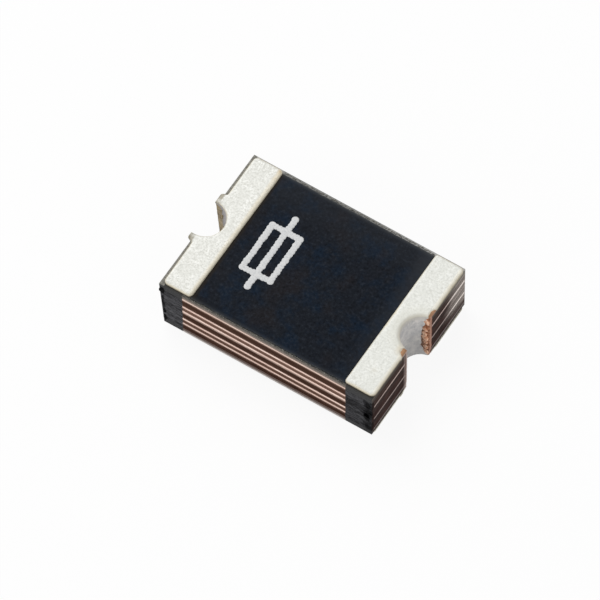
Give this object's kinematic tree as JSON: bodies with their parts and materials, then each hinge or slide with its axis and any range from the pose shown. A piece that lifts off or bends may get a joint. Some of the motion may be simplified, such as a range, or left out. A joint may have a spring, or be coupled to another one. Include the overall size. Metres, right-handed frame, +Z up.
{
  "type": "resettable chip fuse",
  "caption": "Flat rectangular block of bonded polymer and copper layers, with a pale land on both faces at each end and a plated half-round notch in the middle of each end.",
  "frame": {"origin": "middle of the underside of the lower lands", "axes": "+X from the left terminal to the right one, +Y across the block from the front long side to the back one, +Z up through the layers, with the printed face on top"},
  "size_m": [0.0047, 0.0032, 0.0015],
  "materials": {
    "polymer": "dark brown conductive polymer, sawn",
    "foil": "sawn edges of bright copper foil",
    "resin": "dark grey resin, sawn",
    "copper": "plated copper, torn at the sawn ends",
    "tin": "matt tin plating with a fine grain",
    "solder_mask": "dark blue-black solder mask, faintly mottled",
    "ink": "white ink printed in overlapping dots"
  },
  "bodies": {
    "root": {"ptc_core_1": "polymer", "ptc_core_2": "polymer", "ptc_core_3": "polymer", "electrode_foil_1": "foil", "electrode_foil_2": "foil", "electrode_foil_3": "foil", "electrode_foil_4": "foil", "electrode_foil_5": "foil", "electrode_foil_6": "foil", "bond_sheet_1": "resin", "bond_sheet_2": "resin", "cover_sheet_top": "resin", "cover_sheet_bottom": "resin", "land_foil_top_left": "copper", "land_foil_top_right": "copper", "land_foil_bottom_left": "copper", "land_foil_bottom_right": "copper", "plated_copper_left": "copper", "plated_copper_right": "copper", "tin_plating_left": "tin", "tin_plating_right": "tin", "solder_mask_top": "solder_mask", "solder_mask_bottom": "solder_mask", "marking_ink": "ink"}
  },
  "joints": []
}
